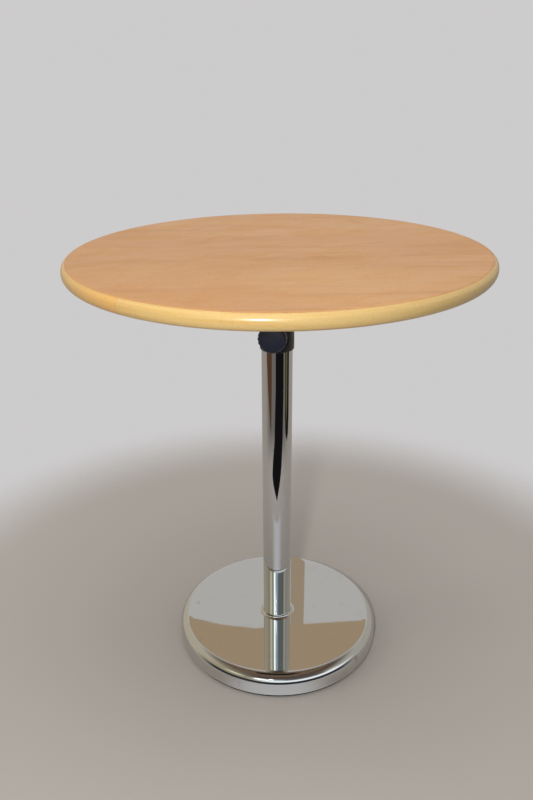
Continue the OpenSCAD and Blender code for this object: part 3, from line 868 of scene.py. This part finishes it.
def makeBracket():
    b = bracket
    hub = tubeSection(b["hub"], b["hubBore"], b["hubFoot"], b["plateFoot"], b["soft"])
    makePiece("hubSleeve", meshOf("hubSleeve", [turned(hub, b["turns"])]),
              finish["bracket_paint"], "top", "bracket_paint", "hub_sleeve")
    sheets = (("topPlate", "top_plate", b["plateRound"]),
              ("plateGussets", "plate_gussets", b["gussetRound"]))
    for name, node, width in sheets:
        mesh, edge = softened(name, node, width)
        roundEdges(makePiece(name, mesh, finish["bracket_paint"], "top", "bracket_paint", node), edge)
    z = b["plateFoot"]
    # one bead round the hub, its section's radius rippled by the angle
    a = np.arange(b["beadTurns"]) / b["beadTurns"] * 2 * pi
    q = np.arange(b["beadSides"])[:, None] / b["beadSides"] * 2 * pi
    swell = b["bead"] * (1 + b["ripple"] * np.abs(np.sin(a * b["ripples"])))
    r = b["hub"] + 0.0006 + swell * np.cos(q)
    ringBead = np.stack((r * np.cos(a), r * np.sin(a), z - 0.0005 + swell * np.sin(q)), -1)
    parts = [gridPart(ringBead, True)]
    for turn in np.radians([45, 135, 225, 315]):
        way = np.array([cos(turn), sin(turn), 0])
        across = np.array([-sin(turn), cos(turn), 0]) * b["gussetHalf"]
        up = np.array([0, 0, z])
        for side in (-1, 1):  # along the plate, then down the hub
            corner = side * across + up
            near, far = way * (b["gussetStart"] + 0.004), way * (b["gussetEnd"] - 0.004)
            parts.append(bead(near + corner, far + corner, b["longBead"]))
            corner = corner + way * (b["gussetStart"] - 0.0002)
            low = corner - (0, 0, b["gussetDrop"] - 0.002)
            parts.append(bead(corner - (0, 0, 0.004), low, b["hubBead"]))
    makePiece("weldBeads", meshOf("weldBeads", parts, 80), finish["bracket_paint"], "top",
              "bracket_paint")


screws = {"reach": 0.104, "head": 0.00475, "height": 0.003, "rim": 0.0011, "crossHalf": 0.00055,
          "crossReach": 0.0023, "crossDepth": 0.0015, "shank": 0.0024, "shankEnd": 0.717, "tip": 0.722,
          "turns": 64}


def makeScrews():
    # pan head: height falls with the square of the radius; the cross recess is where either
    # coordinate is within half a slot of the middle, fading over its edge
    s = screws
    z0 = bracket["plateFoot"]
    a = np.arange(s["turns"]) / s["turns"] * 2 * pi
    x = np.linspace(0, 1, 18)[:, None]
    r = x * (s["head"] - 0.0004) * np.ones_like(a)
    drop = s["height"] - (s["height"] - s["rim"]) * x ** 2.6
    u, v = np.abs(r * np.cos(a)), np.abs(r * np.sin(a))
    arm = np.clip((s["crossHalf"] - np.minimum(u, v)) / 0.0002 + 0.5, 0, 1)
    arm = arm * np.clip((s["crossReach"] - r) / 0.0003 + 0.5, 0, 1)
    head = drop - s["crossDepth"] * arm * (1 - 0.35 * r / s["crossReach"])
    restR = np.array([s["head"], s["head"], s["shank"], s["shank"], 0.0004, 0])
    restZ = np.array([z0 - s["rim"] + 0.0004, z0, z0, s["shankEnd"], s["tip"], s["tip"]])
    restR, restZ = (rest[:, None] * np.ones_like(a) for rest in (restR, restZ))
    r, z = np.vstack((r, restR)), np.vstack((z0 - head, restZ))
    shape = np.stack((r * np.cos(a), r * np.sin(a), z), -1)
    steps = (-s["reach"], 0, s["reach"])
    places = [(i, j, 0) for i in steps for j in steps if i or j]
    parts = [gridPart(shape + np.array(p)) for p in places]
    makePiece("plateScrews", meshOf("plateScrews", parts, 40), finish["zinc_steel"], "top",
              "zinc_steel", "plate_screws")


makeBracket()
makeScrews()
print("bracket made")

# the CAD nodes that stay keep their shape and take a finish
kept = {
    "bolt_washer": "zinc_steel", "spring_washer": "zinc_steel", "foot_plug": "bare_steel",
    "guide_bush": "guide_plastic", "clamp_nut": "zinc_steel", "clamp_pad": "pad_plastic",
    "slide_ring": "guide_plastic", "stop_ring": "bare_steel", "end_plug": "guide_plastic",
    "top_core": "chipboard",
}
for name, slotName in kept.items():
    for place in nodes[name].material_slots:
        place.material = finish[slotName]
print("finishes on", len(kept), "CAD nodes")

view = {
    "lens": 33.617, "shiftX": 0.0261, "shiftY": 0.0299, "distance": 1.1439, "height": 0.9834,
    "around": radians(8), "heading": radians(-2.669), "down": radians(25.554), "roll": radians(-1.123),
}


def makeCamera():
    v = view
    heading, down = v["heading"], v["down"]
    ahead = Vector((sin(heading) * cos(down), cos(heading) * cos(down), -sin(down)))
    level = Vector((cos(heading), -sin(heading), 0))
    upright = level.cross(ahead)
    right = level * cos(v["roll"]) + upright * sin(v["roll"])
    up = upright * cos(v["roll"]) - level * sin(v["roll"])
    turn = Matrix.Rotation(v["around"], 3, "Z")
    axes = Matrix((turn @ right, turn @ up, turn @ -ahead)).transposed().to_4x4()
    axes.translation = turn @ Vector((0, -v["distance"], v["height"]))
    data = bpy.data.cameras.new("camera")
    data.lens, data.sensor_width = v["lens"], 36
    data.shift_x, data.shift_y = v["shiftX"], v["shiftY"]
    data.clip_end = 50
    camera = bpy.data.objects.new("camera", data)
    scene.collection.objects.link(camera)
    camera.matrix_world = axes
    scene.camera = camera


def stagePiece(name, points, faces, material):
    mesh = bpy.data.meshes.new(name)
    mesh.from_pydata(points, [], faces)
    mesh.materials.append(material)
    piece = bpy.data.objects.new(name, mesh)
    scene.collection.objects.link(piece)
    return piece


floorLook = {"colour": (0.440, 0.408, 0.382, 1), "reach": 3.0, "fadeFrom": 0.62, "fadeTo": 0.95}


def makeFloor():
    # plain pale floor that fades into the backdrop away from the table
    f = floorLook
    material, tree, shader = newMaterial("floor_look", Specular_IOR_Level=0.3, Roughness=0.5)
    material.blend_method = "BLEND"
    mottle = noise(tree, spot(tree, 0.35), 3.0)
    paler = tuple(c * 1.05 for c in f["colour"][:3]) + (1,)
    wire(tree, shader, mixed(tree, mottle, f["colour"], paler))
    place = nodeOf(tree, "ShaderNodeTexCoord").outputs["Object"]
    away = nodeOf(tree, "ShaderNodeVectorMath", {0: place}, operation="LENGTH").outputs["Value"]
    tree.links.new(ranged(tree, away, f["fadeFrom"], f["fadeTo"], 1.0, 0.0), shader.inputs["Alpha"])
    r = f["reach"]
    stagePiece("floor", [(-r, -r, 0), (r, -r, 0), (r, r, 0), (-r, r, 0)], [(0, 1, 2, 3)], material)


# glowing floor cards, seen only in reflections: painted reflections of dark, brown, olive and pale floor
# patches that the chrome mirrors
cards = {
    # outline rows: distance from the column in metres, then the azimuths from the front of the left
    # and right edge in degrees. soft: the ratios across to out where a card begins and ends its
    # fade, then the distances at which it is gone and still whole
    "darkCard": {"shade": (0.009, 0.008, 0.009, 1), "rows": (
        (0.51, 0, 0), (0.55, -15, 11), (0.59, -29, 21), (0.64, -36, 29), (0.69, -33, 35),
        (0.84, -19, 43), (1.22, -10, 49), (2.6, -9, 49))},
    "brownCard": {"shade": (0.11, 0.055, 0.028, 1), "rows": (
        (0.86, -46, -46), (1.0, -58, -43), (1.2, -70, -40), (1.5, -80, -39), (2.6, -81, -39))},
    "rightCard": {"shade": (0.014, 0.012, 0.010, 1), "rows": (
        (0.83, 80, 80), (0.88, 66, 92), (1.0, 62, 97), (2.6, 60, 99))},
    "oliveCard": {"shade": (0.13, 0.115, 0.05, 1), "lift": 0.001, "rows": (
        (0.93, 74, 74), (1.1, 68, 80), (2.6, 66, 84))},
    "paleCard": {"shade": (0.56, 0.56, 0.57, 1), "soft": (0.15, 0.75, 0.62, 0.40), "rows": (
        (0.19, -50, 50), (0.64, -50, 50))},
}
backCards = {
    # upright glowing cards behind the table, seen only in reflections: the painted shadow of the tabletop
    # on the wall, and a narrow band that is the column's painted shadow. Outline points (across, up) in
    # metres at one depth
    "shadeCard": {"shade": (0.44, 0.335, 0.222, 1), "depth": 0.445, "outline": (
        (-0.42, 0.50), (-0.33, 0.437), (-0.24, 0.440), (-0.15, 0.464), (-0.06, 0.476), (0.06, 0.461),
        (0.15, 0.451), (0.24, 0.444), (0.35, 0.446), (0.42, 0.52), (0.42, 0.70), (-0.42, 0.70))},
    "bandCard": {"shade": (0.42, 0.335, 0.24, 1), "depth": 0.450, "outline": (
        (0.036, 0.0), (0.072, 0.0), (0.072, 0.47), (0.036, 0.47))},
}


def cardPiece(name, shade, points, soft=None):
    # cards glow with their own colour and are seen only in reflections: painted reflections and painted
    # shadows, not lamps
    material, tree, shader = newMaterial(
        name + "_look", Base_Color=(0, 0, 0, 1), Roughness=1.0, Specular_IOR_Level=0.0,
        Emission_Color=shade, Emission_Strength=1.0)
    if soft:  # fades out sideways, by the ratio of across to out, and away from the table
        place = spot(tree, 1.0, view["around"])
        axis = nodeOf(tree, "ShaderNodeSeparateXYZ", {0: place}).outputs
        slant = calc(tree, "ABSOLUTE", calc(tree, "DIVIDE", axis[0], axis[1]))
        away = nodeOf(tree, "ShaderNodeVectorMath", {0: place}, operation="LENGTH").outputs["Value"]
        fade = calc(tree, "MULTIPLY", ranged(tree, slant, soft[0], soft[1], 1.0, 0.0),
                    ranged(tree, away, soft[3], soft[2], 1.0, 0.0))
        tree.links.new(fade, shader.inputs["Alpha"])
    piece = stagePiece(name, points.tolist(), [tuple(range(len(points)))], material)
    for sight in ("camera", "diffuse", "shadow", "transmission", "volume_scatter"):
        setattr(piece, "visible_" + sight, False)


def makeCards():
    for name, card in cards.items():
        rows = np.array(card["rows"], float)
        fine = np.linspace(rows[0, 0], rows[-1, 0], 90)
        left, right = (np.radians(np.interp(fine, rows[:, 0], rows[:, k])) for k in (1, 2))
        turn = np.concatenate((left, right[::-1])) + view["around"]
        out = np.concatenate((fine, fine[::-1]))
        height = np.full_like(out, 0.002 + card.get("lift", 0))
        points = np.column_stack((out * np.sin(turn), -out * np.cos(turn), height))
        cardPiece(name, card["shade"], points, card.get("soft"))
    c, s = cos(view["around"]), sin(view["around"])
    for name, card in backCards.items():
        across, up = np.array(card["outline"]).T
        depth = card["depth"]
        points = np.column_stack((across * c - depth * s, across * s + depth * c, up))
        cardPiece(name, card["shade"], points)


skyLook = {
    "backdrop": (0.61, 0.60, 0.605, 1), "wall": (0.585, 0.575, 0.56, 1),
    "ceiling": (0.78, 0.78, 0.77, 1),
    "sideLeft": (0.55, 0.495, 0.39, 1), "sideRight": (0.46, 0.445, 0.40, 1),
    "roomLeft": (0.155, 0.125, 0.075, 1), "roomRight": (0.060, 0.072, 0.100, 1),
    "low": (0.032, 0.038, 0.053, 1),
    "windowLeft": (0.40, 0.35, 0.24, 1), "window": (1.15, 1.20, 1.25, 1),
    "highLeft": (0.28, 0.245, 0.175, 1), "high": (0.115, 0.085, 0.070, 1),
    "groundNear": (0.19, 0.175, 0.16, 1), "groundBack": (0.40, 0.36, 0.32, 1),
    # upright stripes of the room's upper part: azimuth from the front in degrees, and colour
    "stripes": ((-90, (0.40, 0.35, 0.25, 1)), (-66, (0.42, 0.37, 0.26, 1)), (-54, (0.95, 0.90, 0.70, 1)),
                (-44, (0.80, 0.77, 0.60, 1)), (-36, (0.33, 0.32, 0.26, 1)), (-28, (0.50, 0.50, 0.45, 1)),
                (-24, (2.1, 2.3, 2.3, 1)), (-16, (2.1, 2.3, 2.3, 1)), (-10, (0.60, 0.70, 0.72, 1)),
                (6, (0.45, 0.56, 0.62, 1)), (12, (0.16, 0.21, 0.30, 1)), (30, (0.20, 0.22, 0.22, 1)),
                (56, (0.20, 0.205, 0.18, 1)), (63, (0.62, 0.62, 0.55, 1)), (72, (0.60, 0.60, 0.52, 1)),
                (80, (0.30, 0.30, 0.25, 1)), (110, (0.30, 0.29, 0.26, 1))),
}


def banded(tree, value, stops):
    # colours at places from 0 to 1, mixed smoothly between them
    ramp = nodeOf(tree, "ShaderNodeValToRGB", {0: value})
    elements = ramp.color_ramp.elements
    elements.remove(elements[1])
    elements[0].position, elements[0].color = stops[0]
    for place, colour in stops[1:]:
        elements.new(place).color = colour
    return ramp.outputs[0]


def makeSky():
    # surroundings by direction: pale wall behind, bright ceiling, floor tone below, dim room in
    # front. Gloss sees that room as a dark foot, a long bright window, stripes and a brown height
    s = skyLook
    world = bpy.data.worlds.new("studio")
    scene.world = world
    world.use_nodes = True
    tree = world.node_tree
    direction = nodeOf(tree, "ShaderNodeTexCoord").outputs["Generated"]
    direction = nodeOf(tree, "ShaderNodeVectorRotate", {"Vector": direction, "Angle": -view["around"]},
                       rotation_type="Z_AXIS").outputs[0]
    axis = nodeOf(tree, "ShaderNodeSeparateXYZ", {0: direction}).outputs
    sight = nodeOf(tree, "ShaderNodeLightPath").outputs
    room = mixed(tree, ranged(tree, axis[0], -0.30, 0.12), s["roomLeft"], s["roomRight"])
    window = mixed(tree, ranged(tree, axis[0], -0.50, -0.05), s["windowLeft"], s["window"])
    azimuth = calc(tree, "ARCTAN2", axis[0], calc(tree, "MULTIPLY", axis[1], -1.0))
    turn = calc(tree, "ADD", calc(tree, "DIVIDE", azimuth, 2 * pi), 0.5)
    stripes = banded(tree, turn, [(0.5 + degrees / 360, colour) for degrees, colour in s["stripes"]])
    high = mixed(tree, ranged(tree, axis[0], -0.60, -0.15), s["highLeft"], s["high"])
    bands = mixed(tree, ranged(tree, axis[2], 0.28, 0.36), s["low"], window)
    bands = mixed(tree, ranged(tree, axis[2], 0.54, 0.60), bands, stripes)
    bands = mixed(tree, ranged(tree, axis[2], 0.695, 0.74), bands, high)
    glossy = sight["Is Glossy Ray"]
    room = mixed(tree, glossy, room, bands)
    sides = mixed(tree, ranged(tree, axis[0], -0.55, -0.22), s["sideLeft"], s["wall"])
    sides = mixed(tree, ranged(tree, axis[0], 0.25, 0.60), sides, s["sideRight"])
    wall = mixed(tree, glossy, s["wall"], sides)
    colour = mixed(tree, ranged(tree, axis[1], -0.45, 0.15), room, wall)
    overhead = mixed(tree, glossy, s["ceiling"], high)
    colour = mixed(tree, ranged(tree, axis[2], 0.72, 0.90), colour, overhead)
    ground = mixed(tree, ranged(tree, axis[1], -0.55, 0.10), s["groundNear"], s["groundBack"])
    colour = mixed(tree, ranged(tree, axis[2], -0.03, 0.0), ground, colour)
    colour = mixed(tree, sight["Is Camera Ray"], colour, s["backdrop"])
    tree.links.new(colour, tree.nodes["Background"].inputs["Color"])


lamps = {
    # shines: seen in gloss. lights: falls on rough surfaces. only: the pieces it reaches
    "overhead": {"shines": False, "lights": True, "place": (0.1, 0.15, 2.3), "aim": (0, 0, 0.6),
                 "size": 1.5, "power": 12.5, "tone": (1.0, 0.97, 0.93)},
    "nearCamera": {"shines": False, "lights": True, "place": (0.023, -1.168, 1.0), "aim": (0, 0, 0.6),
                   "size": 0.10, "power": 9, "tone": (1.0, 0.98, 0.95)},
    "glint": {"shines": True, "lights": False, "place": (0.023, -1.168, 1.0), "aim": (0, 0, 0.6),
              "size": 0.09, "power": 8.5, "tone": (1.0, 0.98, 0.95),
              "only": ("edgeLipping", "baseCover", "outerTube", "innerTube", "collarBody", "knobHead")},
    "leftSoft": {"shines": False, "lights": True, "place": (-1.7, -0.5, 1.5), "aim": (0, 0, 0.5),
                 "size": 0.9, "power": 5, "tone": (1.0, 0.95, 0.88)},
}


def makeLamps():
    for name, lamp in lamps.items():
        data = bpy.data.lights.new(name, "AREA")
        data.shape, data.size = "DISK", lamp["size"]
        data.energy, data.color = lamp["power"], lamp["tone"]
        light = bpy.data.objects.new(name, data)
        scene.collection.objects.link(light)
        light.location = lamp["place"]
        light.visible_glossy = lamp["shines"]
        light.visible_diffuse = lamp["lights"]
        if "only" in lamp:
            reached = bpy.data.collections.new(name + "Reaches")
            for piece in lamp["only"]:
                reached.objects.link(bpy.data.objects[piece])
            light.light_linking.receiver_collection = reached
        aim = Vector(lamp["aim"]) - Vector(lamp["place"])
        light.rotation_euler = aim.to_track_quat("-Z", "Y").to_euler()


makeCamera()
makeFloor()
makeCards()
makeSky()
makeLamps()
scene.view_settings.view_transform = "Standard"
print("stage, light and camera made")
